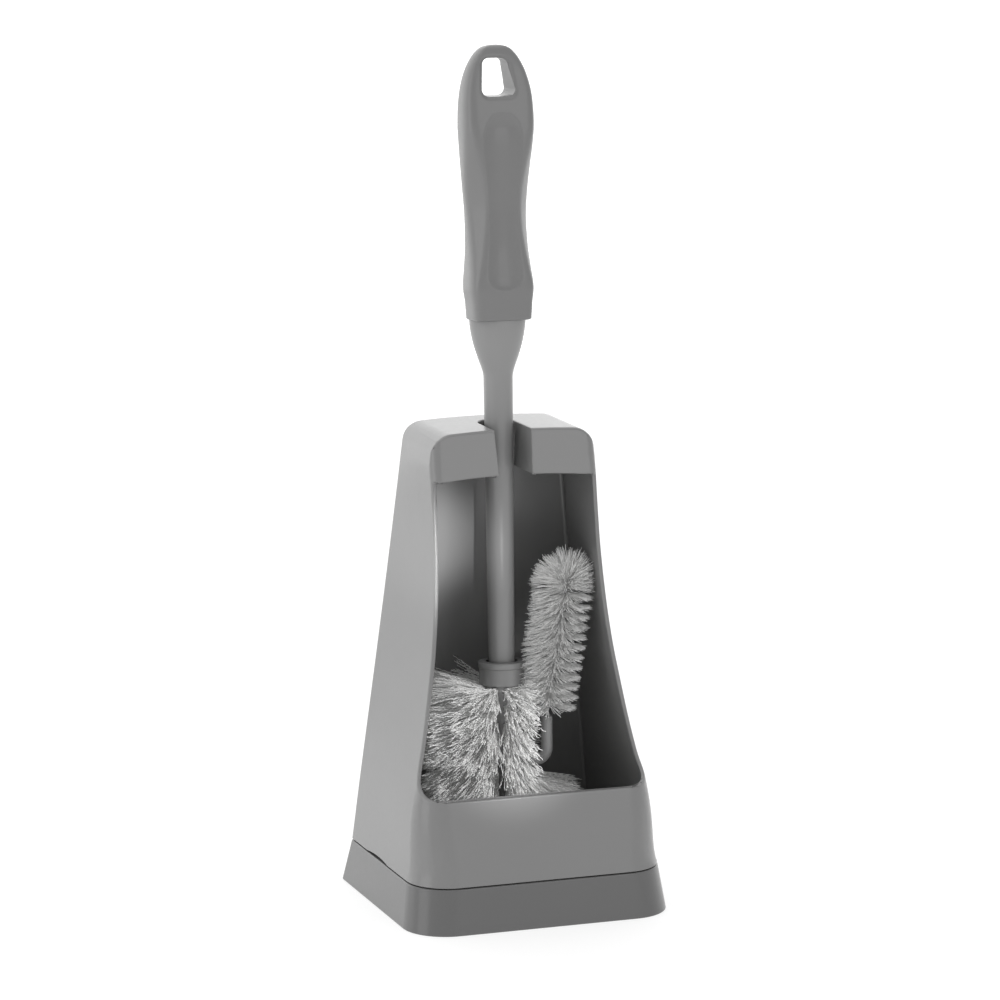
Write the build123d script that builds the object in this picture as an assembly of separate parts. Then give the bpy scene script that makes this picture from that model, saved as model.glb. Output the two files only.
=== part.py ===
from build123d import *

# Toilet brush holder with its brush, in millimetres. The holder stands on Z = 0 with the centre of
# its foot at the origin. +X is the holder's right, +Y its back, and the open window faces -Y.

import math
import os

# Tray: a flared foot that catches drips, with a shoulder that the shell stands on.
TRAY_HEIGHT = 21.0
TRAY_FOOT_HALF = 65.0
TRAY_FOOT_FRONT, TRAY_FOOT_BACK = -57.1, 57.1
TRAY_FOOT_RADIUS = 21.0
TRAY_FLOOR = 3.0
TRAY_EDGE_RADIUS = 0.8
UPSTAND_HEIGHT = 7.0
UPSTAND_WALL = 2.0
UPSTAND_PLAY = 0.35

# Shell: four leaning walls and a crowned top. Sizes are given at the seam and at the top.
SHELL_HALF = (62.0, 39.7)
SHELL_FRONT = (-52.5, -5.57)
SHELL_BACK = (51.1, 37.8)
SHELL_TOP = 224.7
SHELL_CROWN = 1.5
SHELL_WALL = 2.0
SHELL_ROOF = 2.2
SHOULDER_RADIUS = 11.0
BACK_RADIUS = 3.5
FRONT_RADIUS_SEAM, FRONT_RADIUS_LIP, FRONT_RADIUS_HEADER = 20.0, 14.0, 5.0

# Window: open from the lip up to the header. The side walls' free edges bow inwards beside it.
LIP_HEIGHT = 60.0
HEADER_HEIGHT = 203.0
HEADER_ARCH = 2.3
WINDOW_EDGE_TOP = (-7.8, HEADER_HEIGHT)
WINDOW_EDGE_FOOT = (-30.5, LIP_HEIGHT)
WINDOW_FOOT_RADIUS = 17.0
BOW_DEPTH = 6.4
BOW_LOW, BOW_HIGH = 57.0, 212.0

# Slot for the stem, in the roof and the header, with a straight cheek wall along each side of it.
SLOT_HALF_TOP, SLOT_HALF_FOOT = 9.3, 7.8
SLOT_SEAT = 16.2
SLOT_FOOT = 198.0
CHEEK_WALL = 2.0
CHEEK_FOOT = 202.0

# Release scallop in the shell's lower left edge.
SCALLOP_CENTRE, SCALLOP_LENGTH, SCALLOP_DEPTH = 10.5, 30.0, 1.5

# Brush: its axis leans back in the plane X = 0. Heights below are along that axis.
BRUSH_LEAN = 2.57
BRUSH_FOOT_Y = 4.15
ROD_RADIUS_LOW, ROD_RADIUS_HIGH = 6.2, 6.9
ROD_FOOT, ROD_TOP = 102.0, 247.0
GRIP_SEAM = 275.3
SEAM_HALF_WIDTH, SEAM_HALF_DEPTH = 13.6, 11.2
SPIGOT_RADIUS, SPIGOT_FOOT = 4.4, 84.0
TANG_HALF_WIDTH, TANG_HALF_DEPTH, TANG_LENGTH = 7.0, 5.0, 28.0

# Grip sections: height, half width, half depth.
GRIP_SECTIONS = [
    (275.3, 14.3, 11.9),
    (284.0, 14.9, 12.3),
    (291.0, 15.8, 12.8),
    (298.0, 15.3, 12.4),
    (310.0, 14.6, 11.5),
    (325.0, 14.8, 11.2),
    (345.0, 16.3, 11.8),
    (365.0, 17.6, 11.6),
    (378.0, 17.2, 9.8),
    (388.0, 15.4, 7.8),
    (395.0, 12.6, 6.2),
    (400.0, 9.0, 4.6),
    (403.0, 5.0, 3.0),
]
GRIP_ROUNDNESS = 0.72
HANG_HOLE_CENTRE, HANG_HOLE_RADIUS = 388.2, 4.0
HANG_HOLE_HALF_WIDTH, HANG_HOLE_HALF_HEIGHT = 6.8, 8.7
THUMB_LOW, THUMB_HIGH, THUMB_HALF_WIDTH, THUMB_DEPTH = 288.0, 368.0, 7.0, 1.2

# Head: a moulded core with a socket collar. Bristle tufts are stapled into the core in rings.
CORE_RADIUS, CORE_FOOT, CORE_TOP = 9.0, 18.0, 102.3
COLLAR_RADIUS, COLLAR_RIM_RADIUS = 10.8, 11.3
COLLAR_TOP, COLLAR_RIM_HEIGHT = 113.0, 3.2
SOCKET_RADIUS = 7.6
HEAD_RADIUS, HEAD_FOOT_RADIUS = 37.0, 18.0
HEAD_BACK = 40.0
RING_COUNT, RING_GAP = 10, 0.3
RING_LOW, RING_HIGH = 23.5, 103.5
TUFTS_PER_RING = 8
FIRST_TUFT_ANGLE = 2.5
BARE_HALF_ANGLE = 35.0
TUFT_HOLE_RADIUS, TUFT_HOLE_DEPTH = 1.3, 3.6
STAPLE_DEPTH, STAPLE_WIDTH, STAPLE_THICKNESS = 1.4, 2.2, 0.5

# Rim brush: a bent arm out of the core's side carries two wires with short bristles between them.
ARM_RADIUS = 2.7
ARM_REACH, ARM_ANGLE = 21.2, -28.7
ARM_FOOT, ARM_TOP = 65.6, 87.0
ARM_BEND = 6.0
ARM_TENON_FOOT = 5.4
FIT_PLAY = 0.02
WIRE_RADIUS = 0.55
WIRE_SOCKET_DEPTH = 11.0
SPINE_LEAN = 6.5
TURN_COUNT = 12
TURN_PITCH = 4.8
TURN_THICKNESS = 3.4
TURN_RADIUS = 12.8
FIRST_TURN = 6.5
CROWN_RADIUS = 13.6

brush_place = Pos(0, BRUSH_FOOT_Y, 0) * Rot(-BRUSH_LEAN, 0, 0)


def between(low, high, share):
    return low + (high - low) * share


def plan(z, half_front, half_back, front, back, front_radius, back_radius):
    """A flat four-sided outline at height z, with rounded corners, the same on both sides of X = 0."""
    corners = [(-half_front, front), (half_front, front), (half_back, back), (-half_back, back)]
    face = make_face(Polyline(*corners, close=True))
    face = fillet(face.vertices().sort_by(Axis.Y)[:2], front_radius)
    face = fillet(face.vertices().sort_by(Axis.Y)[-2:], back_radius)
    return Pos(0, 0, z) * face


def shell_half(z):
    return between(*SHELL_HALF, (z - TRAY_HEIGHT) / (SHELL_TOP - TRAY_HEIGHT))


def shell_plan(z, inset=0.0):
    """The shell's outline at height z, moved in by inset."""
    share = (z - TRAY_HEIGHT) / (SHELL_TOP - TRAY_HEIGHT)
    bow = 0.0
    if BOW_LOW < z < BOW_HIGH:
        bow = BOW_DEPTH * math.sin(math.pi * (z - BOW_LOW) / (BOW_HIGH - BOW_LOW))
    if z < LIP_HEIGHT:
        radius_share = (z - TRAY_HEIGHT) / (LIP_HEIGHT - TRAY_HEIGHT)
        front_radius = between(FRONT_RADIUS_SEAM, FRONT_RADIUS_LIP, radius_share)
    else:
        radius_share = min(1.0, (z - LIP_HEIGHT) / 35.0)
        front_radius = between(FRONT_RADIUS_LIP, FRONT_RADIUS_HEADER, radius_share)
    half = shell_half(z) - inset
    return plan(
        z,
        half - bow,
        half,
        between(*SHELL_FRONT, share) + inset,
        between(*SHELL_BACK, share) - inset,
        front_radius - inset,
        max(BACK_RADIUS - inset, 0.8),
    )


def under_roof(drop, inset, shoulder_radius):
    """Everything below a crowned roof with rounded shoulders, drop below the shell's top."""
    shoulder = SHELL_TOP - drop
    low = SHELL_TOP - 60.0
    play = 0.05
    with BuildSketch(Plane.XZ) as front_view:
        with BuildLine():
            Line((-shell_half(low) + inset + play, low), (shell_half(low) - inset - play, low))
            Line((shell_half(low) - inset - play, low), (shell_half(shoulder) - inset - play, shoulder))
            ThreePointArc(
                (shell_half(shoulder) - inset - play, shoulder),
                (0, shoulder + SHELL_CROWN),
                (-shell_half(shoulder) + inset + play, shoulder),
            )
            Line((-shell_half(shoulder) + inset + play, shoulder), (-shell_half(low) + inset + play, low))
        make_face()
        fillet(front_view.vertices().sort_by(Axis.Y)[-2:], shoulder_radius)
    below = Pos(0, 0, low / 2 + 5) * Box(300, 300, low + 10)
    return extrude(front_view.sketch, 100, both=True) + below


def window_cut():
    """The window: a side view with a rounded foot, under the header's arched lower edge."""
    far = -120.0
    top_y, top_z = WINDOW_EDGE_TOP
    foot_y, foot_z = WINDOW_EDGE_FOOT
    rise = 10.0
    slope = (top_y - foot_y) / (top_z - foot_z)
    with BuildSketch(Plane.YZ) as side_view:
        Polygon(
            (far, foot_z),
            (foot_y, foot_z),
            (top_y + slope * rise, top_z + rise),
            (far, top_z + rise),
            align=None,
        )
        corner = side_view.vertices().sort_by(Axis.Y)[:2].sort_by(Axis.X)[-1]
        fillet(corner, WINDOW_FOOT_RADIUS)
    reach = 70.0
    with BuildSketch(Plane.XZ) as front_view:
        with BuildLine():
            edge_z = HEADER_HEIGHT - HEADER_ARCH * ((reach / 41.0) ** 2 - 1)
            ThreePointArc((-reach, edge_z), (0, HEADER_HEIGHT + HEADER_ARCH), (reach, edge_z))
            Line((reach, edge_z), (reach, 0))
            Line((reach, 0), (-reach, 0))
            Line((-reach, 0), (-reach, edge_z))
        make_face()
    return extrude(side_view.sketch, 100, both=True) & extrude(front_view.sketch, 150, both=True)


def slot_plan(z, half):
    """A slot outline open to the front, with a round seat at its back."""
    seat = Pos(0, SLOT_SEAT) * Circle(half)
    lane = Pos(0, SLOT_SEAT - 50) * Rectangle(2 * half, 100)
    return Pos(0, 0, z) * (seat + lane)


def make_holder_shell():
    heights = [TRAY_HEIGHT, 40, BOW_LOW, 75, 95, 118, 142, 165, 190, BOW_HIGH]
    outer = loft([shell_plan(z) for z in heights + [SHELL_TOP + 8]])
    outer = outer & under_roof(0.0, 0.0, SHOULDER_RADIUS)
    inner_heights = [TRAY_HEIGHT - 2] + heights + [SHELL_TOP + 4]
    inner = loft([shell_plan(z, SHELL_WALL) for z in inner_heights])
    inner = inner & under_roof(SHELL_ROOF, SHELL_WALL, SHOULDER_RADIUS - SHELL_WALL)
    lane = Rectangle(2 * (SLOT_HALF_TOP + CHEEK_WALL), 100)
    cheeks = extrude(Pos(0, SLOT_SEAT - 50, CHEEK_FOOT) * lane, SHELL_TOP - CHEEK_FOOT) & outer
    shell = outer - inner + cheeks - window_cut()
    slot = loft([slot_plan(SLOT_FOOT, SLOT_HALF_FOOT), slot_plan(SHELL_TOP + 5, SLOT_HALF_TOP)])
    shell = shell - slot
    scallop_radius = (SCALLOP_LENGTH / 2) ** 2 / (2 * SCALLOP_DEPTH)
    scallop = Pos(-SHELL_HALF[0], SCALLOP_CENTRE, TRAY_HEIGHT + SCALLOP_DEPTH - scallop_radius)
    return shell - scallop * Rot(0, 90, 0) * Cylinder(scallop_radius, 14)


def make_base_tray():
    foot = plan(
        0,
        TRAY_FOOT_HALF,
        TRAY_FOOT_HALF,
        TRAY_FOOT_FRONT,
        TRAY_FOOT_BACK,
        TRAY_FOOT_RADIUS,
        BACK_RADIUS,
    )
    flare = loft([foot, shell_plan(TRAY_HEIGHT)])
    flare = fillet(flare.faces().sort_by(Axis.Z)[-1].edges(), TRAY_EDGE_RADIUS)
    upstand_inset = SHELL_WALL + UPSTAND_PLAY
    upstand_top = TRAY_HEIGHT + UPSTAND_HEIGHT
    upstand = loft([shell_plan(z, upstand_inset) for z in (TRAY_HEIGHT - 1, upstand_top)])
    basin_inset = upstand_inset + UPSTAND_WALL
    basin = loft([shell_plan(z, basin_inset) for z in (TRAY_FLOOR, upstand_top + 1)])
    return flare + upstand - basin


def make_handle_stem():
    rod = Solid.make_cone(
        ROD_RADIUS_LOW, ROD_RADIUS_HIGH, ROD_TOP - ROD_FOOT, Plane((0, 0, ROD_FOOT))
    )
    flare_steps = [
        (0.0, ROD_RADIUS_HIGH, ROD_RADIUS_HIGH),
        (0.12, 7.2, 7.1),
        (0.30, 8.9, 8.3),
        (0.52, 11.1, 9.9),
        (0.75, 12.7, 10.8),
        (1.0, SEAM_HALF_WIDTH, SEAM_HALF_DEPTH),
    ]
    flare = loft(
        [
            Pos(0, 0, between(ROD_TOP, GRIP_SEAM, share)) * Ellipse(width, depth)
            for share, width, depth in flare_steps
        ]
    )
    tang = Pos(0, 0, GRIP_SEAM) * Rectangle(2 * TANG_HALF_WIDTH, 2 * TANG_HALF_DEPTH)
    spigot = Pos(0, 0, (SPIGOT_FOOT + ROD_FOOT) / 2) * Cylinder(SPIGOT_RADIUS, ROD_FOOT - SPIGOT_FOOT)
    return brush_place * (rod + flare + extrude(tang, TANG_LENGTH) + spigot)


def grip_plan(height, half_width, half_depth):
    radius = GRIP_ROUNDNESS * half_depth
    return Pos(0, 0, height) * RectangleRounded(2 * half_width, 2 * half_depth, radius)


def make_handle_grip():
    grip = loft([grip_plan(*section) for section in GRIP_SECTIONS])
    hole = RectangleRounded(2 * HANG_HOLE_HALF_WIDTH, 2 * HANG_HOLE_HALF_HEIGHT, HANG_HOLE_RADIUS)
    hole = extrude(Pos(0, 0, HANG_HOLE_CENTRE) * (Plane.XZ * hole), 30, both=True)
    thumb = SlotOverall(THUMB_HIGH - THUMB_LOW, 2 * THUMB_HALF_WIDTH, rotation=90)
    thumb_middle = (THUMB_LOW + THUMB_HIGH) / 2
    thumb_floor = THUMB_DEPTH - min(depth for _, _, depth in GRIP_SECTIONS[4:6])
    thumb = extrude(Pos(0, thumb_floor, thumb_middle) * (Plane.XZ * thumb), 10)
    tang = Rectangle(2 * (TANG_HALF_WIDTH + FIT_PLAY), 2 * (TANG_HALF_DEPTH + FIT_PLAY))
    socket = extrude(Pos(0, 0, GRIP_SEAM - 1) * tang, TANG_LENGTH + 1.5)
    return brush_place * (grip - hole - thumb - socket)


def ring_height():
    return (RING_HIGH - RING_LOW) / RING_COUNT


def ring_middle(index):
    return RING_LOW + ring_height() * (index + 0.5)


def tuft_places():
    """Where each tuft leaves the core, in upright rows: +Z points outwards. Beside the arm and the rim
    brush above it, two of the rows have none."""
    places = []
    for ring in range(RING_COUNT):
        for tuft in range(TUFTS_PER_RING):
            angle = FIRST_TUFT_ANGLE + 360 / TUFTS_PER_RING * tuft
            off_arm = abs((angle - ARM_ANGLE + 180) % 360 - 180)
            if ring_middle(ring) > ARM_FOOT - ring_height() / 2 and off_arm < BARE_HALF_ANGLE:
                continue
            outwards = Rot(0, 0, angle) * Pos(CORE_RADIUS, 0, 0) * Rot(0, 90, 0)
            places.append(Pos(0, 0, ring_middle(ring)) * outwards)
    return places


def make_head_core():
    core = Pos(0, 0, (CORE_FOOT + CORE_TOP) / 2) * Cylinder(CORE_RADIUS, CORE_TOP - CORE_FOOT)
    core = fillet(core.edges().sort_by(Axis.Z)[0], 3.0)
    cup_height = COLLAR_TOP - CORE_TOP
    cup = Pos(0, 0, CORE_TOP + cup_height / 2) * Cylinder(COLLAR_RADIUS, cup_height)
    rim = Pos(0, 0, COLLAR_TOP - COLLAR_RIM_HEIGHT / 2) * Cylinder(COLLAR_RIM_RADIUS, COLLAR_RIM_HEIGHT)
    rim = fillet(rim.edges().filter_by(GeomType.CIRCLE), 0.9)
    socket = Pos(0, 0, ROD_FOOT + 20) * Cylinder(SOCKET_RADIUS, 40)
    bore_length = ROD_FOOT - SPIGOT_FOOT + 1
    bore_middle = SPIGOT_FOOT + bore_length / 2 - 0.5
    bore = Pos(0, 0, bore_middle) * Cylinder(SPIGOT_RADIUS + FIT_PLAY, bore_length)
    tuft_hole = Pos(0, 0, -TUFT_HOLE_DEPTH / 2) * Cylinder(TUFT_HOLE_RADIUS, TUFT_HOLE_DEPTH)
    tuft_holes = [place * tuft_hole for place in tuft_places()]
    head = core + cup + rim - socket - bore - arm_tube(ARM_RADIUS + FIT_PLAY, -FIT_PLAY) - tuft_holes
    return brush_place * head


def make_tuft_staples():
    """The flat metal anchors that hold the tufts, one at the bottom of each hole in the core."""
    anchor_middle = -TUFT_HOLE_DEPTH + STAPLE_DEPTH / 2
    anchor = Pos(0, 0, anchor_middle) * Box(STAPLE_THICKNESS, STAPLE_WIDTH, STAPLE_DEPTH)
    return brush_place * Compound([place * anchor for place in tuft_places()])


def arm_point(distance, height):
    angle = math.radians(ARM_ANGLE)
    return (distance * math.cos(angle), distance * math.sin(angle), height)


def arm_tube(radius, tenon_play=0.0):
    """The arm: a tenon in the core's side, straight out, round a bend and up beside the core."""
    tenon = ARM_TENON_FOOT + tenon_play
    corner = arm_point(ARM_REACH, ARM_FOOT)
    path = FilletPolyline(arm_point(tenon, ARM_FOOT), corner, arm_point(ARM_REACH, ARM_TOP), radius=ARM_BEND)
    section = Plane(origin=path @ 0, z_dir=path % 0) * Circle(radius)
    return sweep(section, path=path)


def spine_place():
    """The rim brush's own axis, which leans to the right from the top of the arm."""
    return Pos(*arm_point(ARM_REACH, ARM_TOP)) * Rot(0, SPINE_LEAN, 0)


def turn_height(index):
    return FIRST_TURN + TURN_PITCH * index


def wire_top():
    return turn_height(TURN_COUNT) + 2.0


def wire_room(low, high):
    """The space that the two wires take, between two heights along the rim brush's axis."""
    return Pos(0, 0, (low + high) / 2) * Cylinder(2 * WIRE_RADIUS + 0.1, high - low)


def make_rim_arm():
    arm = arm_tube(ARM_RADIUS)
    arm = fillet(arm.edges().filter_by(GeomType.CIRCLE).sort_by(Axis.Z)[-1], 0.9)
    return brush_place * (arm - spine_place() * wire_room(-WIRE_SOCKET_DEPTH, 1))


def make_rim_wire(side):
    """One of the two wires, which lie side by side along the rim brush's axis."""
    offset = side * (WIRE_RADIUS + FIT_PLAY / 2)
    length = wire_top() + WIRE_SOCKET_DEPTH
    strand = Pos(offset, 0, wire_top() - length / 2) * Cylinder(WIRE_RADIUS, length)
    return brush_place * spine_place() * strand


def make_rim_turn(index):
    disc = Pos(0, 0, turn_height(index)) * Cylinder(TURN_RADIUS, TURN_THICKNESS)
    disc = spine_place() * (disc - wire_room(0, wire_top()))
    collar_room = Pos(0, 0, COLLAR_TOP - 9) * Cylinder(COLLAR_RIM_RADIUS + 0.4, 20)
    return brush_place * (disc - collar_room)


def make_rim_crown():
    """The rounded end of the rim brush."""
    foot = turn_height(TURN_COUNT) - TURN_THICKNESS / 2
    dome = Sphere(CROWN_RADIUS) & Pos(0, 0, CROWN_RADIUS) * Box(60, 60, 2 * CROWN_RADIUS)
    return brush_place * spine_place() * (Pos(0, 0, foot) * dome - wire_room(0, wire_top() + 0.5))


def head_envelope():
    """The space of all the tufts: a drum with a rounded foot, pressed flat at the holder's back wall."""
    drum = Pos(0, 0, (RING_LOW + RING_HIGH) / 2) * Cylinder(HEAD_RADIUS, RING_HIGH - RING_LOW)
    drum = fillet(drum.edges().sort_by(Axis.Z)[0], HEAD_FOOT_RADIUS)
    return brush_place * drum - Pos(0, HEAD_BACK + 50, 60) * Box(200, 100, 200)


def make_tuft_ring(index):
    """One ring of tufts: a slice of the head round the core, with room for the collar, arm and rim brush."""
    middle = Pos(0, 0, ring_middle(index))
    ring = middle * Box(100, 100, ring_height() - RING_GAP) - middle * Cylinder(CORE_RADIUS + 0.1, 20)
    collar_room = Pos(0, 0, CORE_TOP + 9.8) * Cylinder(COLLAR_RADIUS + 0.4, 20)
    rim_room_foot = FIRST_TURN - TURN_THICKNESS / 2 - 0.3
    rim_room = Pos(0, 0, rim_room_foot + 10) * Cylinder(TURN_RADIUS + 0.3, 20)
    ring = ring - collar_room - arm_tube(ARM_RADIUS + 0.4) - spine_place() * (rim_room + wire_room(-2, 8))
    return head_envelope() & brush_place * ring


def export(name, shape):
    export_step(shape, f"parts/{name}.step")


os.makedirs("parts", exist_ok=True)
export("base_tray", make_base_tray())
export("holder_shell", make_holder_shell())
export("handle_stem", make_handle_stem())
export("handle_grip", make_handle_grip())
export("head_core", make_head_core())
export("tuft_staples", make_tuft_staples())
export("rim_arm", make_rim_arm())
export("rim_wire_left", make_rim_wire(-1))
export("rim_wire_right", make_rim_wire(1))
export("rim_crown", make_rim_crown())
for turn in range(TURN_COUNT):
    export(f"rim_turn_{turn + 1:02d}", make_rim_turn(turn))
for ring in range(RING_COUNT):
    export(f"tuft_ring_{ring + 1}", make_tuft_ring(ring))
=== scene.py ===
"""Looks of a toilet brush holder with its brush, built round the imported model. Metres, +Z up, front at -Y."""

import math

import bmesh
import bpy
import numpy as np
from mathutils import Matrix, Vector


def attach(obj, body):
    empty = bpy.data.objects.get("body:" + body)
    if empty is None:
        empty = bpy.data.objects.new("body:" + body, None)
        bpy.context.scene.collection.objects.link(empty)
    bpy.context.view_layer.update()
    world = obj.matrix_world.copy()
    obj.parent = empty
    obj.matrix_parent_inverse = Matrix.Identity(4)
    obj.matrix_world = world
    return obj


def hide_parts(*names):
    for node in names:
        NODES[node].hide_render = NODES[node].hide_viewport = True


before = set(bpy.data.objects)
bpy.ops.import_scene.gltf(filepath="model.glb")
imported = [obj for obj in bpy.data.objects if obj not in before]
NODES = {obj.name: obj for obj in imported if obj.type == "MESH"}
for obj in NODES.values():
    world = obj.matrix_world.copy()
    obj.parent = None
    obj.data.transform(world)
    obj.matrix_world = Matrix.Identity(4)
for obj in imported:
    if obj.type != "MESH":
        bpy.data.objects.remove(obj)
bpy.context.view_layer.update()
MM = 0.001

# The camera: where it looks from and how long its lens is.
CAMERA_AZIMUTH = -20.0
CAMERA_ELEVATION = 10.6
CAMERA_DISTANCE = 2.026
CAMERA_AIM = Vector((-0.0039, 0.0014, 0.1917))
CAMERA_ROLL = 0.17
CAMERA_LENS = 155.95
SENSOR = 36.0

# The brush's own axis leans back in the plane X = 0.
BRUSH_LEAN = math.radians(2.57)
BRUSH_FOOT = Vector((0.0, 0.00415, 0.0))
BRUSH_FRAME = Matrix.Translation(BRUSH_FOOT) @ Matrix.Rotation(-BRUSH_LEAN, 4, "X")


# ---------------------------------------------------------------- small helpers


def new_object(name, mesh):
    obj = bpy.data.objects.new(name, mesh)
    bpy.context.scene.collection.objects.link(obj)
    return obj


def mesh_object(name, verts, faces, smooth=True):
    mesh = bpy.data.meshes.new(name)
    mesh.from_pydata(verts, [], faces)
    mesh.validate()
    if smooth:
        mesh.shade_smooth()
    return new_object(name, mesh)


def apply_modifiers(obj):
    graph = bpy.context.evaluated_depsgraph_get()
    mesh = bpy.data.meshes.new_from_object(obj.evaluated_get(graph))
    obj.modifiers.clear()
    obj.data = mesh


# ---------------------------------------------------------------- materials


def node(tree, kind, **values):
    made = tree.nodes.new(kind)
    for key, value in values.items():
        if key in made.inputs:
            made.inputs[key].default_value = value
        else:
            setattr(made, key, value)
    return made


def plastic(name, grey, roughness, coat=0.25):
    """Smooth moulded plastic: faint clouds in its tone, fine scuffs in its gloss, slow waves in its skin."""
    material = bpy.data.materials.new(name)
    material.use_nodes = True
    tree = material.node_tree
    link = tree.links.new
    shader = tree.nodes["Principled BSDF"]
    shader.inputs["Specular IOR Level"].default_value = 0.5
    shader.inputs["Coat Weight"].default_value = coat
    shader.inputs["Coat Roughness"].default_value = 0.12
    place = node(tree, "ShaderNodeTexCoord")
    clouds = node(tree, "ShaderNodeTexNoise", Scale=14.0, Detail=3.0)
    tone = node(tree, "ShaderNodeMapRange")
    tone.inputs["To Min"].default_value = 0.96
    tone.inputs["To Max"].default_value = 1.04
    tint = node(tree, "ShaderNodeMix", data_type="RGBA", blend_type="MULTIPLY")
    tint.inputs[0].default_value = 1.0
    tint.inputs[6].default_value = (grey, grey, grey, 1.0)
    link(place.outputs["Object"], clouds.inputs["Vector"])
    link(clouds.outputs["Fac"], tone.inputs["Value"])
    link(tone.outputs["Result"], tint.inputs[7])
    link(tint.outputs[2], shader.inputs["Base Color"])
    scuffs = node(tree, "ShaderNodeTexNoise", Scale=420.0, Detail=4.0)
    gloss = node(tree, "ShaderNodeMapRange")
    gloss.inputs["To Min"].default_value = roughness - 0.04
    gloss.inputs["To Max"].default_value = roughness + 0.05
    link(place.outputs["Object"], scuffs.inputs["Vector"])
    link(scuffs.outputs["Fac"], gloss.inputs["Value"])
    link(gloss.outputs["Result"], shader.inputs["Roughness"])
    waves = node(tree, "ShaderNodeTexNoise", Scale=22.0, Detail=1.0)
    bump = node(tree, "ShaderNodeBump", Strength=0.12, Distance=0.002)
    link(place.outputs["Object"], waves.inputs["Vector"])
    link(waves.outputs["Fac"], bump.inputs["Height"])
    link(bump.outputs["Normal"], shader.inputs["Normal"])
    return material


# A faint painted glow on the strands, though they are no lamp, so strands in shade stay pale; it stands in for
# the light that passes through nylon.
PAINTED_STRAND_GLOW = 0.02


def bristle_material():
    """Off-white nylon filament, each strand of a slightly different tone, with a faint painted glow that lifts
    strands in shade.
    """
    material = bpy.data.materials.new("bristle")
    material.use_nodes = True
    tree = material.node_tree
    link = tree.links.new
    shader = tree.nodes["Principled BSDF"]
    shader.inputs["Roughness"].default_value = 0.42
    shader.inputs["Specular IOR Level"].default_value = 0.5
    # Painted glow: the strands give off a little light of their own, which brightens those in shade.
    shader.inputs["Emission Color"].default_value = (1.0, 1.0, 0.99, 1.0)
    shader.inputs["Emission Strength"].default_value = PAINTED_STRAND_GLOW
    place = node(tree, "ShaderNodeTexCoord")
    speckle = node(tree, "ShaderNodeTexNoise", Scale=900.0, Detail=2.0)
    ramp = node(tree, "ShaderNodeValToRGB")
    ramp.color_ramp.elements[0].position = 0.3
    ramp.color_ramp.elements[0].color = (0.80, 0.80, 0.795, 1.0)
    ramp.color_ramp.elements[1].position = 0.7
    ramp.color_ramp.elements[1].color = (0.93, 0.93, 0.92, 1.0)
    link(place.outputs["Object"], speckle.inputs["Vector"])
    link(speckle.outputs["Fac"], ramp.inputs["Fac"])
    link(ramp.outputs["Color"], shader.inputs["Base Color"])
    return material


def wire_material():
    """Drawn galvanised wire: metal with fine streaks."""
    material = bpy.data.materials.new("steel_wire")
    material.use_nodes = True
    tree = material.node_tree
    link = tree.links.new
    shader = tree.nodes["Principled BSDF"]
    shader.inputs["Metallic"].default_value = 1.0
    shader.inputs["Base Color"].default_value = (0.55, 0.55, 0.56, 1.0)
    place = node(tree, "ShaderNodeTexCoord")
    streaks = node(tree, "ShaderNodeTexNoise", Scale=1500.0, Detail=2.0)
    gloss = node(tree, "ShaderNodeMapRange")
    gloss.inputs["To Min"].default_value = 0.22
    gloss.inputs["To Max"].default_value = 0.45
    link(place.outputs["Object"], streaks.inputs["Vector"])
    link(streaks.outputs["Fac"], gloss.inputs["Value"])
    link(gloss.outputs["Result"], shader.inputs["Roughness"])
    return material


SHELL_PLASTIC = plastic("shell_plastic", 0.205, 0.30)
TRAY_PLASTIC = plastic("tray_plastic", 0.12, 0.30)
GRIP_PLASTIC = plastic("grip_plastic", 0.18, 0.36)
STEM_PLASTIC = plastic("stem_plastic", 0.25, 0.32)
BRISTLE = bristle_material()
WIRE = wire_material()

MATERIAL_OF_NODE = {
    "holder_shell": SHELL_PLASTIC,
    "base_tray": TRAY_PLASTIC,
    "handle_grip": GRIP_PLASTIC,
    "handle_stem": STEM_PLASTIC,
    "head_core": STEM_PLASTIC,
    "rim_arm": STEM_PLASTIC,
    "tuft_staples": WIRE,
    "rim_wire_left": WIRE,
    "rim_wire_right": WIRE,
}
for name, obj in NODES.items():
    obj.data.materials.clear()
    obj.data.materials.append(MATERIAL_OF_NODE.get(name, BRISTLE))


# ---------------------------------------------------------------- shell and tray with rounded edges

# Edges under the first angle stay sharp, and from the second on they get their full rounding.
SHARP_ANGLE, SQUARE_ANGLE = math.radians(30), math.radians(80)
WIDEST_ROUND = 2.2 * MM
MERGE_DISTANCE, FLAT_ANGLE = 0.01 * MM, math.radians(0.6)


def box_mesh(name, low, high):
    """A plain box between two corners in millimetres."""
    (x0, y0, z0), (x1, y1, z1) = low, high
    verts = [(x * MM, y * MM, z * MM) for z in (z0, z1) for y in (y0, y1) for x in (x0, x1)]
    faces = [(0, 2, 3, 1), (4, 5, 7, 6), (0, 1, 5, 4), (2, 6, 7, 3), (0, 4, 6, 2), (1, 3, 7, 5)]
    return mesh_object(name, verts, faces, smooth=False)


def add_cut(obj, cutter):
    cut = obj.modifiers.new("cut", "BOOLEAN")
    cut.operation = "DIFFERENCE"
    cut.solver = "EXACT"
    cut.object = cutter


def add_flat_normals(obj):
    """Shades wide faces flat and leaves the bend to the narrow ones beside them."""
    obj.data.shade_smooth()
    normals = obj.modifiers.new("flat_faces_stay_flat", "WEIGHTED_NORMAL")
    normals.weight = 100


def without(mesh, cutter):
    """A copy of a mesh with a cutter's space taken out of it."""
    holder = new_object("holder", mesh)
    add_cut(holder, cutter)
    apply_modifiers(holder)
    result = holder.data
    bpy.data.objects.remove(holder)
    bpy.data.objects.remove(cutter)
    return result


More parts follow.
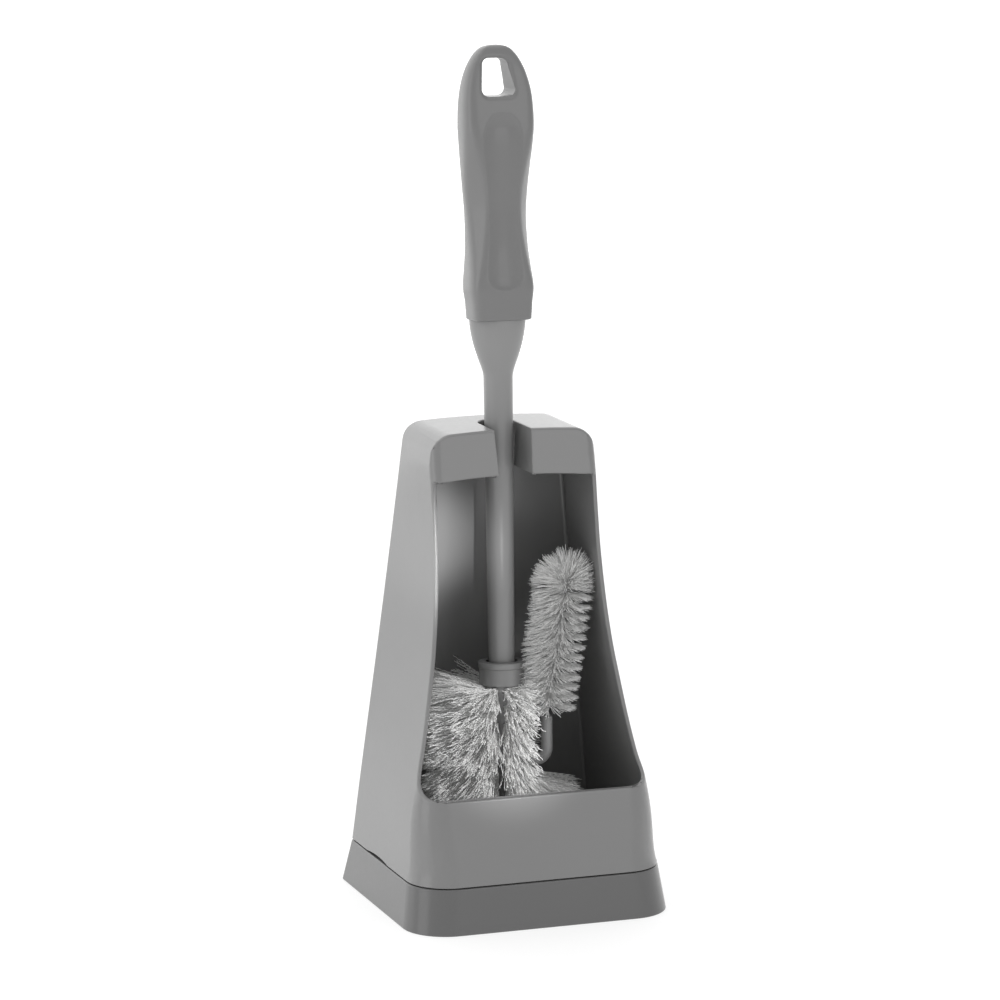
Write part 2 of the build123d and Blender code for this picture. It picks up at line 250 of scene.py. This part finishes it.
def rounded_copy(name, cad_node, body, edge_width, cutter=None, move=None):
    """A copy of a CAD node's mesh with each sharp edge rounded by edge_width(its middle, how sharp it is).
    The cutter is taken out of it first, and move(place) then shifts its vertices."""
    mesh = NODES[cad_node].data.copy()
    if cutter:
        mesh = without(mesh, cutter)
    made = bmesh.new()
    made.from_mesh(mesh)
    bmesh.ops.remove_doubles(made, verts=made.verts, dist=MERGE_DISTANCE)
    bmesh.ops.dissolve_limit(made, angle_limit=FLAT_ANGLE, verts=made.verts, edges=made.edges)
    if move:
        for vert in made.verts:
            vert.co = move(vert.co)
    weight = made.edges.layers.float.new("bevel_weight_edge")
    for edge in made.edges:
        if len(edge.link_faces) == 2 and edge.calc_face_angle() > SHARP_ANGLE:
            middle = (edge.verts[0].co + edge.verts[1].co) / (2 * MM)
            turn = min(1.0, (edge.calc_face_angle() - SHARP_ANGLE) / (SQUARE_ANGLE - SHARP_ANGLE))
            edge[weight] = edge_width(middle, turn) * MM / WIDEST_ROUND
    made.to_mesh(mesh)
    made.free()
    obj = new_object(name, mesh)
    bevel = obj.modifiers.new("edge_round", "BEVEL")
    bevel.width = WIDEST_ROUND
    bevel.segments = 4
    bevel.limit_method = "WEIGHT"
    bevel.use_clamp_overlap = False
    add_flat_normals(obj)
    apply_modifiers(obj)
    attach(obj, body)
    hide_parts(cad_node)


# Heights of the window's foot and of the roof's edges, and half the slot's width, in millimetres.
WINDOW_LOW, ROOF_LOW, SLOT_HALF = 58.0, 212.0, 9.5


def shell_edge_width(middle, turn):
    """Millimetres of rounding: soft round the front of the roof, finer at the thin edges of the walls."""
    on_roof_front = middle.z > ROOF_LOW and middle.y < 0.0 and abs(middle.x) > SLOT_HALF
    on_window = WINDOW_LOW < middle.z < ROOF_LOW and middle.y < 0.0
    if on_roof_front:
        return 0.3 + 1.2 * turn**2
    return (0.3 + 0.6 * turn) if on_window else (0.25 + 0.35 * turn)


# The joint over the tray: its height, its gap, how far up the scallop reaches and how much of it stays.
SEAM_HEIGHT, SEAM_GAP, SCALLOP_REACH, SCALLOP_SHARE = 21.0, 0.5, 1.7, 0.55


def open_seam(place):
    """Leaves a dark joint line over the tray, and keeps the release scallop shallow."""
    if place.z < (SEAM_HEIGHT + SCALLOP_REACH) * MM:
        above = place.z - SEAM_HEIGHT * MM
        return Vector((place.x, place.y, (SEAM_HEIGHT + SEAM_GAP) * MM + above * SCALLOP_SHARE))
    return place


def tray_edge_width(_middle, turn):
    """Millimetres of rounding, the same all over the tray."""
    return 0.3 + 0.4 * turn


# The cheek walls' lower ends beside the slot, which would hang below the header.
CHEEK_ENDS = box_mesh("cheek_ends", (-11.6, -14.0, 195.0), (11.6, 30.0, 205.05))
rounded_copy(
    "shell_moulding",
    "holder_shell",
    "shell",
    shell_edge_width,
    CHEEK_ENDS,
    open_seam,
)
rounded_copy("tray_moulding", "base_tray", "tray", tray_edge_width)


# ---------------------------------------------------------------- grip

# Heights along the brush's axis, in millimetres, with the grip's half width, half depth and the half width
# of its flat front.
GRIP_SHAPE = [
    (275.3, 14.3, 11.9, 12.6),
    (284.0, 14.9, 12.3, 13.0),
    (290.4, 15.7, 12.8, 13.2),
    (292.0, 15.7, 12.8, 13.0),
    (300.0, 15.1, 12.3, 11.2),
    (310.0, 14.6, 11.5, 9.3),
    (325.0, 14.8, 11.2, 7.8),
    (336.0, 15.6, 11.5, 8.4),
    (347.0, 16.4, 11.8, 10.4),
    (357.0, 17.1, 11.7, 13.0),
    (366.0, 17.6, 11.2, 14.6),
    (378.0, 17.2, 9.6, 14.8),
    (388.0, 15.4, 7.6, 13.2),
    (395.0, 12.6, 6.0, 10.6),
    (400.0, 9.0, 4.4, 7.4),
    (401.8, 6.6, 3.4, 5.4),
    (402.7, 3.9, 2.2, 3.2),
    (403.0, 1.4, 0.9, 1.1),
]
# The thumb hollow: height and half width, in millimetres.
THUMB_SHAPE = [
    (289.4, 0.0),
    (290.2, 4.4),
    (292.0, 6.9),
    (295.0, 8.4),
    (299.0, 8.6),
    (306.0, 7.9),
    (322.0, 7.1),
    (336.0, 7.6),
    (350.0, 9.2),
    (359.0, 9.8),
    (365.0, 8.9),
    (369.0, 6.7),
    (371.2, 3.8),
    (372.0, 0.0),
]
THUMB_DEPTH, THUMB_FOOT, THUMB_TOP = 1.9, THUMB_SHAPE[0][0], THUMB_SHAPE[-1][0]
# The hanging hole, in millimetres: its ends, half widths, corner radius and the width of its soft rim, how
# far it lies off the middle at each end, and how deep the rim sinks.
HOLE_LOW, HOLE_HIGH = 379.3, 397.0
HOLE_HALF_LOW, HOLE_HALF_HIGH, HOLE_CORNER, HOLE_ROUND = 8.2, 6.3, 3.4, 1.9
HOLE_SHIFT_LOW, HOLE_SHIFT_HIGH = -0.8, -1.5
HOLE_SINK = 1.2


def smooth_between(table, column, height):
    """Monotone cubic interpolation down one column of a table whose first column is the height."""
    xs = np.array([row[0] for row in table])
    ys = np.array([row[column] for row in table])
    steps = np.diff(xs)
    slopes = np.diff(ys) / steps
    tangents = np.concatenate([[slopes[0]], (slopes[:-1] + slopes[1:]) / 2, [slopes[-1]]])
    turning = np.concatenate([[False], slopes[:-1] * slopes[1:] <= 0, [False]])
    tangents = np.where(turning, 0.0, tangents)
    cell = np.clip(np.searchsorted(xs, height) - 1, 0, len(steps) - 1)
    t = (height - xs[cell]) / steps[cell]
    t = np.clip(t, 0.0, 1.0)
    start, end = ys[cell], ys[cell + 1]
    return (
        (2 * t**3 - 3 * t**2 + 1) * start
        + (t**3 - 2 * t**2 + t) * steps[cell] * tangents[cell]
        + (3 * t**2 - 2 * t**3) * end
        + (t**3 - t**2) * steps[cell] * tangents[cell + 1]
    )


def grip_outline(half_width, half_depth, front_half, angle):
    """Distance from the axis to the grip's skin: flats and chamfers blended into one soft outline."""
    sharpness = 15.0
    chamfer_depth = 1.25 * (half_width - front_half)
    back_half, back_depth = 0.52 * half_width, 0.55 * half_depth
    flats = [(0.0, -1.0, half_depth), (0.0, 1.0, half_depth), (1.0, 0.0, half_width), (-1.0, 0.0, half_width)]
    for side in (-1.0, 1.0):
        length = math.hypot(chamfer_depth, half_width - front_half)
        nx, ny = side * chamfer_depth / length, -(half_width - front_half) / length
        flats.append((nx, ny, nx * side * front_half - ny * half_depth))
        length = math.hypot(back_depth, half_width - back_half)
        nx, ny = side * back_depth / length, (half_width - back_half) / length
        flats.append((nx, ny, nx * side * back_half + ny * half_depth))
    total = np.zeros_like(angle)
    for nx, ny, distance in flats:
        facing = np.maximum(0.0, (nx * np.cos(angle) + ny * np.sin(angle)) / distance)
        total += facing**sharpness
    return total ** (-1.0 / sharpness)


def hole_distance(x, height):
    """Signed distance to the hanging hole's outline: a rounded trapezoid, off centre, wider at its foot."""
    share = (height - HOLE_LOW) / (HOLE_HIGH - HOLE_LOW)
    share = np.clip(share, 0.0, 1.0)
    half = HOLE_HALF_LOW + (HOLE_HALF_HIGH - HOLE_HALF_LOW) * share
    middle = HOLE_SHIFT_LOW + (HOLE_SHIFT_HIGH - HOLE_SHIFT_LOW) * share
    across = np.abs(x - middle) - half + HOLE_CORNER
    up = np.abs(height - (HOLE_LOW + HOLE_HIGH) / 2) - (HOLE_HIGH - HOLE_LOW) / 2 + HOLE_CORNER
    outside = np.hypot(np.maximum(across, 0.0), np.maximum(up, 0.0))
    return outside + np.minimum(np.maximum(across, up), 0.0) - HOLE_CORNER


def hole_cutter():
    """A prism through the grip with the hole's outline."""
    outline = []
    corners = [(1, HOLE_LOW, HOLE_HALF_LOW, -90), (1, HOLE_HIGH, HOLE_HALF_HIGH, 0)]
    corners += [(-1, HOLE_HIGH, HOLE_HALF_HIGH, 90), (-1, HOLE_LOW, HOLE_HALF_LOW, 180)]
    for side, height, half, start in corners:
        middle = height + (HOLE_CORNER if height == HOLE_LOW else -HOLE_CORNER)
        for step in range(9):
            turn = math.radians(start + 90 * step / 8)
            shift = HOLE_SHIFT_LOW if height == HOLE_LOW else HOLE_SHIFT_HIGH
            x = shift + side * (half - HOLE_CORNER) + HOLE_CORNER * math.cos(turn)
            outline.append((x, middle + HOLE_CORNER * math.sin(turn)))
    verts = [(x * MM, y * MM, z * MM) for y in (-30.0, 30.0) for x, z in outline]
    count = len(outline)
    faces = [tuple(range(count)), tuple(range(2 * count - 1, count - 1, -1))]
    faces += [(k, k + count, (k + 1) % count + count, (k + 1) % count) for k in range(count)]
    return mesh_object("hole_cutter", verts, faces)


def make_grip():
    """The moulded handle: a soft facetted outline, a scooped thumb hollow and a hanging hole."""
    around = 256
    grip_foot, grip_top = GRIP_SHAPE[0][0], GRIP_SHAPE[-1][0]
    coarse, fine = np.arange(grip_foot, THUMB_TOP, 0.9), np.arange(THUMB_TOP, grip_top - 0.1, 0.4)
    heights = np.concatenate([coarse, fine, [grip_top]])
    angle = np.linspace(0, 2 * math.pi, around, endpoint=False)
    rows = []
    for height in heights:
        width, depth, front = [float(smooth_between(GRIP_SHAPE, column, height)) for column in (1, 2, 3)]
        radius = grip_outline(width, depth, front, angle)
        x, y = radius * np.cos(angle), radius * np.sin(angle)
        in_thumb = THUMB_FOOT < height < THUMB_TOP
        thumb_half = float(smooth_between(THUMB_SHAPE, 1, height)) if in_thumb else 0.0
        if thumb_half > 0.2:
            across = np.clip(1 - (np.abs(x) / thumb_half) ** 2.2, 0, 1)
            ends = min(1.0, (height - THUMB_FOOT) / 5.0, (THUMB_TOP - height) / 6.5) ** 0.6
            y = np.where(y < 0, y + THUMB_DEPTH * across**0.9 * ends, y)
        near = np.clip(hole_distance(x, height), 0.0, HOLE_ROUND)
        sink = HOLE_SINK * (1 - near / HOLE_ROUND) ** 2
        y = np.where(np.abs(x) < width - 1.0, y - np.sign(y) * np.minimum(sink, 0.75 * np.abs(y)), y)
        rows.append(np.stack([x, y, np.full_like(x, height)], axis=1))
    foot = rows[0].copy()
    foot[:, :2] *= 1 - 0.6 / 12.0
    rows[0][:, 2] += 0.45
    rows = [foot] + rows
    verts = np.concatenate(rows) * MM
    faces = []
    for row in range(len(rows) - 1):
        for k in range(around):
            after = (k + 1) % around
            low = row * around
            faces.append((low + k, low + after, low + around + after, low + around + k))
    faces.append(tuple(range(around - 1, -1, -1)))
    top = (len(rows) - 1) * around
    faces.append(tuple(range(top, top + around)))
    grip = mesh_object("grip_moulding", verts.tolist(), faces)
    cutter = hole_cutter()
    add_cut(grip, cutter)
    add_flat_normals(grip)
    apply_modifiers(grip)
    bpy.data.objects.remove(cutter)
    grip.data.transform(BRUSH_FRAME)
    grip.data.materials.clear()
    grip.data.materials.append(GRIP_PLASTIC)
    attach(grip, "brush")
    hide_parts("handle_grip")


make_grip()


# ---------------------------------------------------------------- bristles

CORE_RADIUS = 9.0 * MM
# Radii of the strands, then their lengths in millimetres.
TUFT_STRAND, RIM_STRAND = 0.2 * MM, 0.15 * MM
TUFT_LENGTH, RIM_LENGTH, RIM_EXTRA, CROWN_LENGTH = 32.0, 12.9, 4.2, 15.4
RING_MIDDLES = [(27.5 + 8.0 * ring) * MM for ring in range(10)]
TUFT_ANGLES = [2.5 + 45.0 * tuft for tuft in range(8)]
ARM_ANGLE, ARM_REACH = -28.7, 21.2 * MM
ARM_TOP = 87.0 * MM
BARE_ABOVE, BARE_HALF_ANGLE, BESIDE_RIM_ANGLE = 61.6 * MM, 35.0, 80.0
# Half of a tuft's fan, and for tufts beside the rim brush a narrower one that is turned aside, in degrees.
FAN_HALF, NARROW_FAN_HALF, TURNED_ASIDE = 25.0, 16.0, 9.0


def tube_mesh(name, paths, radius, material, node_name):
    """Thin closed three-sided tubes along many paths of equally many points, as one piece of the brush."""
    sides = 3
    count, steps, _ = paths.shape
    along = np.gradient(paths, axis=1)
    along /= np.linalg.norm(along, axis=2, keepdims=True)
    mean = along.mean(axis=1, keepdims=True)
    helper = np.where(np.abs(mean[..., 2:3]) < 0.7, [[[0.0, 0.0, 1.0]]], [[[1.0, 0.0, 0.0]]])
    across = np.cross(along, helper)
    across /= np.linalg.norm(across, axis=2, keepdims=True)
    upward = np.cross(across, along)
    taper = np.ones(steps)
    taper[-1] = 0.6
    rings = []
    for side in range(sides):
        turn = 2 * math.pi * side / sides
        offset = across * math.cos(turn) + upward * math.sin(turn)
        rings.append(paths + offset * radius * taper[None, :, None])
    verts = np.stack(rings, axis=2).reshape(-1, 3)
    first = (np.arange(count) * steps * sides)[:, None, None]
    step = (np.arange(steps - 1) * sides)[None, :, None]
    side = np.arange(sides)[None, None, :]
    after = (side + 1) % sides
    low, low_next = first + step + side, first + step + after
    quads = np.stack([low, low_next, low_next + sides, low + sides], axis=3).reshape(-1, 4)
    foot = first[:, 0, 0]
    tip = foot + (steps - 1) * sides
    caps = np.concatenate(
        [np.stack([foot + 2, foot + 1, foot], axis=1), np.stack([tip, tip + 1, tip + 2], axis=1)]
    )
    obj = mesh_object(name, verts.tolist(), quads.tolist() + caps.tolist())
    obj.data.materials.append(material)
    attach(obj, "brush")
    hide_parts(node_name)


def to_frame(matrix, paths):
    flat = paths.reshape(-1, 3)
    moved = flat @ np.array(matrix.to_3x3()).T + np.array(matrix.translation)
    return moved.reshape(paths.shape)


def directions(bearing, tilt):
    """Unit vectors from angles round the axis and angles above the level, in radians."""
    level = np.cos(tilt)
    return np.stack([level * np.cos(bearing), level * np.sin(bearing), np.sin(tilt)], axis=1)


def tuft_pitch(height):
    """How far a tuft tips up or down: level by the collar, drooping further down the head."""
    share = (RING_MIDDLES[-1] - height) / (RING_MIDDLES[-1] - RING_MIDDLES[0])
    return math.radians(3.0 - 52.0 * min(share, 0.55) - 6.0 * max(0.0, share - 0.55))


def tuft_paths(rng, height, angle, fan_half):
    """The filaments of one tuft, in the brush's frame: clumps of crimped strands fanning out of one hole."""
    clumps, per_clump, steps = 15, 8, 19
    count = clumps * per_clump
    pitch = tuft_pitch(height)
    fan = rng.uniform(-1, 1, clumps) * math.radians(fan_half)
    lift = rng.normal(0, 1, clumps) * math.radians(7.0)
    bearing = math.radians(angle) + np.repeat(fan, per_clump) + rng.normal(0, math.radians(2.2), count)
    tilt = pitch + np.repeat(lift, per_clump) + rng.normal(0, math.radians(2.0), count)
    length = rng.normal(TUFT_LENGTH, 0.8, count) * MM
    direction = directions(bearing, tilt)
    outward = np.array([math.cos(math.radians(angle)), math.sin(math.radians(angle)), 0.0])
    sideways = np.array([-outward[1], outward[0], 0.0])
    spread = rng.uniform(-1, 1, (count, 2)) * 1.4 * MM
    root = outward * (CORE_RADIUS - 2.0 * MM) + np.array([0, 0, height])
    root = root + sideways * spread[:, :1] + np.array([0.0, 0.0, 1.0]) * spread[:, 1:]
    share = np.linspace(0, 1, steps)[None, :, None]
    level = outward * math.cos(pitch) + np.array([0.0, 0.0, 1.0]) * math.sin(pitch)
    straight_share = 0.2
    blend = np.clip(share / straight_share, 0, 1)
    heading = level[None, None, :] * (1 - blend) * 0.5 + direction[:, None, :] * (1 - (1 - blend) * 0.5)
    step_length = (length / (steps - 1))[:, None, None]
    paths = root[:, None, :] + np.cumsum(heading * step_length, axis=1)
    sag = -(share**2) * rng.uniform(0.5, 2.5, count)[:, None, None] * MM
    paths = paths + sag * np.array([0.0, 0.0, 1.0])
    zigzag = np.where(np.arange(steps) % 2 == 0, 1.0, -1.0)[None, :, None] * np.clip(share * 6, 0, 1)
    crimp_angle = np.repeat(rng.uniform(0, math.pi, clumps), per_clump) + rng.normal(0, 0.5, count)
    side_axis = np.cross(direction, [0.0, 0.0, 1.0])
    side_axis /= np.linalg.norm(side_axis, axis=1, keepdims=True)
    up_axis = np.cross(side_axis, direction)
    crimp = side_axis * np.cos(crimp_angle)[:, None] + up_axis * np.sin(crimp_angle)[:, None]
    strength = rng.uniform(0.14, 0.30, count)[:, None, None] * MM
    paths = paths + zigzag * strength * crimp[:, None, :]
    stray = rng.normal(0, 1.0, (count, 1, 3)) * MM * share**2
    return paths + stray


# The shell's walls, in millimetres: each pair is a size at the seam and how much it changes up to the top.
# The side walls bow inwards at the front, beside the window, and the back wall leans by its slope.
SHELL_HEIGHT, SHELL_WALL = 203.7, 2.0
SHELL_FRONT, SHELL_BACK, SHELL_HALF = (-52.5, 46.9), (51.1, -13.3), (62.0, -22.3)
BOW_DEPTH, BOW_LOW, BOW_HEIGHT = 6.4, 57.0, 155.0
BACK_INSIDE, BACK_SLOPE, TRAY_INSIDE = 49.1, 0.0653, 4.2


def wall_half_width(y, z):
    """Half the room between the shell's side walls, in millimetres, at a depth y and a height z."""
    share = np.clip((z - SEAM_HEIGHT) / SHELL_HEIGHT, 0.0, 1.0)
    walls = (SHELL_FRONT, SHELL_BACK, SHELL_HALF)
    front, back, half = (at_seam + change * share for at_seam, change in walls)
    bow = BOW_DEPTH * np.sin(math.pi * np.clip((z - BOW_LOW) / BOW_HEIGHT, 0.0, 1.0))
    return half - bow * (1 - np.clip((y - front) / (back - front), 0.0, 1.0)) - SHELL_WALL


def clear_of_walls(paths, margin=0.5):
    """Presses strands against the shell's leaning walls and off the tray's floor."""
    x, y, z = (paths[..., axis] / MM for axis in range(3))
    back = BACK_INSIDE - (z - SEAM_HEIGHT) * BACK_SLOPE
    y = np.minimum(y, back - margin)
    half = wall_half_width(y, z) - margin
    return np.stack([np.clip(x, -half, half), y, np.maximum(z, TRAY_INSIDE)], axis=-1) * MM


def make_tuft_ring(index):
    rng = np.random.default_rng(100 + index)
    height = RING_MIDDLES[index]
    tufts = []
    for angle in TUFT_ANGLES:
        off_arm = abs((angle - ARM_ANGLE + 180) % 360 - 180)
        if height > BARE_ABOVE and off_arm < BARE_HALF_ANGLE:
            continue
        aside, fan_half = 0.0, FAN_HALF
        if height > BARE_ABOVE and off_arm < BESIDE_RIM_ANGLE:
            aside = -TURNED_ASIDE if angle > 180.0 else TURNED_ASIDE
            fan_half = NARROW_FAN_HALF
        tufts.append(tuft_paths(rng, height, angle + aside, fan_half))
    paths = clear_of_walls(to_frame(BRUSH_FRAME, np.concatenate(tufts)))
    name = f"tuft_ring_{index + 1}"
    tube_mesh("bristles_" + name, paths, TUFT_STRAND, BRISTLE, name)


for ring in range(len(RING_MIDDLES)):
    make_tuft_ring(ring)


# ---------------------------------------------------------------- rim brush

SPINE_LEAN = math.radians(10.0)
SPINE_FRAME = (
    BRUSH_FRAME
    @ Matrix.Translation(
        (
            ARM_REACH * math.cos(math.radians(ARM_ANGLE)),
            ARM_REACH * math.sin(math.radians(ARM_ANGLE)),
            ARM_TOP,
        )
    )
    @ Matrix.Rotation(SPINE_LEAN, 4, "Y")
)
TURN_COUNT, TURN_PITCH, FIRST_TURN = 12, 4.8 * MM, 6.5 * MM
# The side of the rim brush towards the stem.
LEFT_BACK = math.radians(165)


def rim_length(rng, bearing):
    """Strands are longer on the side towards the stem."""
    lean = 0.5 + 0.5 * np.cos(bearing - LEFT_BACK)
    return (RIM_LENGTH + RIM_EXTRA * lean + rng.normal(0, 0.35, bearing.shape)) * MM


def rim_strands(rng, bearing, height, tilt, length):
    """Straight strands out of the twisted wires, in the rim brush's own frame."""
    steps = 7
    share = np.linspace(0, 1, steps)[None, :, None]
    direction = directions(bearing, tilt)
    zero = np.zeros_like(height)
    root = np.stack([zero, zero, height], axis=1)
    paths = root[:, None, :] + direction[:, None, :] * share * length[:, None, None]
    count = len(bearing)
    bend = rng.normal(0, 0.45, (count, 1, 3)) * MM * share**2
    wave = np.sin(share * 14 + rng.uniform(0, 6.3, count)[:, None, None]) * 0.09 * MM
    wave = wave * rng.normal(0, 1, (count, 1, 3))
    return paths + bend + wave


# In the brush's own frame: the collar's top, and how near its axis strands may come below and above that.
COLLAR_TOP, COLLAR_CLEAR, STEM_CLEAR = 114.5 * MM, 11.8 * MM, 7.0 * MM


def off_the_collar(paths):
    """Keeps strands from running into the collar and the stem."""
    inverse = np.array(BRUSH_FRAME.inverted())
    local = paths @ inverse[:3, :3].T + inverse[:3, 3]
    radius = np.hypot(local[..., 0], local[..., 1])
    keep = np.where(local[..., 2] < COLLAR_TOP, COLLAR_CLEAR, STEM_CLEAR)
    scale = np.maximum(1.0, keep / np.maximum(radius, 1e-6))
    local[..., :2] *= scale[..., None]
    return to_frame(BRUSH_FRAME, local)


def make_rim_turn(index):
    rng = np.random.default_rng(300 + index)
    count = 270
    turn = np.sort(rng.uniform(0, 1, count))
    bearing = 2 * math.pi * turn + math.radians(200)
    stem_side = 0.5 + 0.5 * np.cos(bearing - LEFT_BACK)
    scatter = (0.28 + 0.9 * stem_side) * rng.normal(0, 1, count) * MM
    climb = turn + 0.9 * np.sin(bearing - LEFT_BACK) / (2 * math.pi)
    height = FIRST_TURN + TURN_PITCH * (index + climb - 0.5) + scatter
    tilt = np.radians(-1.0 - 20.0 * stem_side) + np.radians(1.2 + 4.0 * stem_side) * rng.normal(0, 1, count)
    paths = rim_strands(rng, bearing, height, tilt, rim_length(rng, bearing))
    paths = clear_of_walls(off_the_collar(to_frame(SPINE_FRAME, paths)))
    name = f"rim_turn_{index + 1:02d}"
    tube_mesh("bristles_" + name, paths, RIM_STRAND, BRISTLE, name)


def make_rim_crown():
    rng = np.random.default_rng(400)
    count = 1100
    bearing = rng.uniform(0, 2 * math.pi, count)
    tilt = np.arcsin(rng.uniform(-0.12, 1.0, count))
    foot = FIRST_TURN + TURN_PITCH * TURN_COUNT
    height = foot + rng.uniform(-2.4, 1.8, count) * MM
    sideways = rim_length(rng, bearing) * (1 - np.sin(tilt))
    length = sideways + (CROWN_LENGTH + rng.normal(0, 0.5, count)) * MM * np.sin(tilt)
    paths = clear_of_walls(to_frame(SPINE_FRAME, rim_strands(rng, bearing, height, tilt, length)))
    tube_mesh("bristles_rim_crown", paths, RIM_STRAND, BRISTLE, "rim_crown")


def make_rim_wire(name, phase):
    """One of two wires twisted round each other, from inside the arm to the crown."""
    radius, pitch = 0.55 * MM, 2 * TURN_PITCH
    low, high = -10.9 * MM, FIRST_TURN + TURN_PITCH * TURN_COUNT + 1.9 * MM
    steps = 160
    height = np.linspace(low, high, steps)
    turn = 2 * math.pi * np.maximum(height, 0.0) / pitch + phase
    paths = np.stack([radius * np.cos(turn), radius * np.sin(turn), height], axis=1)[None]
    tube_mesh("twisted_" + name, to_frame(SPINE_FRAME, paths), radius, WIRE, name)


for turn in range(TURN_COUNT):
    make_rim_turn(turn)
make_rim_crown()
make_rim_wire("rim_wire_left", math.pi)
make_rim_wire("rim_wire_right", 0.0)


# ---------------------------------------------------------------- stage, lights and camera


def area_light(name, place, aim, size, power, height=None):
    data = bpy.data.lights.new(name, "AREA")
    data.shape = "RECTANGLE"
    data.size = size
    data.size_y = height or size
    data.energy = power
    obj = bpy.data.objects.new(name, data)
    bpy.context.scene.collection.objects.link(obj)
    obj.location = place
    obj.rotation_mode = "QUATERNION"
    obj.rotation_quaternion = (Vector(aim) - Vector(place)).to_track_quat("-Z", "Y")


def window_light(name, place, aim, radius, power, blend):
    """A narrow lamp that shines into the holder through its window only."""
    data = bpy.data.lights.new(name, "SPOT")
    reach = Vector(aim) - Vector(place)
    data.spot_size = 2 * math.atan(radius / reach.length)
    data.spot_blend = blend
    data.energy = power
    data.shadow_soft_size = 0.01
    obj = bpy.data.objects.new(name, data)
    bpy.context.scene.collection.objects.link(obj)
    obj.location = place
    obj.rotation_mode = "QUATERNION"
    obj.rotation_quaternion = reach.to_track_quat("-Z", "Y")


def stage_material(name, grey, glow):
    material = bpy.data.materials.new(name)
    material.use_nodes = True
    shader = material.node_tree.nodes["Principled BSDF"]
    shader.inputs["Base Color"].default_value = (grey, grey, grey, 1.0)
    shader.inputs["Roughness"].default_value = 0.8
    shader.inputs["Emission Color"].default_value = (1.0, 1.0, 1.0, 1.0)
    shader.inputs["Emission Strength"].default_value = glow
    return material


def make_floor():
    """A pale floor with a bright backdrop behind it."""
    half, behind, high = 4.0, 1.6, 4.0
    corners = [(-half, -half, 0), (half, -half, 0), (half, half, 0), (-half, half, 0)]
    floor = mesh_object("floor", corners, [(0, 1, 2, 3)], smooth=False)
    floor.data.materials.append(stage_material("floor", 0.3, 0.72))
    corners = [(-half, behind, 0), (half, behind, 0), (half, behind, high), (-half, behind, high)]
    backdrop = mesh_object("backdrop", corners, [(0, 1, 2, 3)], smooth=False)
    backdrop.data.materials.append(stage_material("backdrop", 0.5, 1.1))


def make_world():
    world = bpy.data.worlds.new("studio")
    bpy.context.scene.world = world
    world.use_nodes = True
    background = world.node_tree.nodes["Background"]
    background.inputs["Color"].default_value = (1.0, 1.0, 1.0, 1.0)
    background.inputs["Strength"].default_value = 0.64


def make_camera():
    azimuth, elevation = math.radians(CAMERA_AZIMUTH), math.radians(CAMERA_ELEVATION)
    back = Vector(
        (
            math.sin(azimuth) * math.cos(elevation),
            -math.cos(azimuth) * math.cos(elevation),
            math.sin(elevation),
        )
    )
    data = bpy.data.cameras.new("camera")
    data.lens = CAMERA_LENS
    data.sensor_width = SENSOR
    camera = bpy.data.objects.new("camera", data)
    bpy.context.scene.collection.objects.link(camera)
    camera.location = CAMERA_AIM + back * CAMERA_DISTANCE
    camera.rotation_mode = "QUATERNION"
    roll = Matrix.Rotation(math.radians(CAMERA_ROLL), 4, "Z").to_quaternion()
    camera.rotation_quaternion = (-back).to_track_quat("-Z", "Y") @ roll
    bpy.context.scene.camera = camera


make_floor()
make_world()
make_camera()
MIDDLE = Vector((0.0, 0.0, 0.2))
area_light("top", (-0.1, 0.1, 1.9), MIDDLE, 2.2, 8.0)
area_light("left", (-1.6, -0.3, 0.7), MIDDLE, 0.9, 4.6, 1.3)
area_light("front", (0.75, -1.8, 0.9), MIDDLE, 0.9, 2.9)
window_light("on_the_head", (0.35, -1.5, 0.85), (-0.014, -0.02, 0.078), 0.038, 75.0, 0.6)
window_light("on_the_inside", (-0.2, -1.6, 0.17), (-0.028, 0.045, 0.168), 0.034, 130.0, 1.0)
bpy.context.scene.view_settings.view_transform = "Standard"
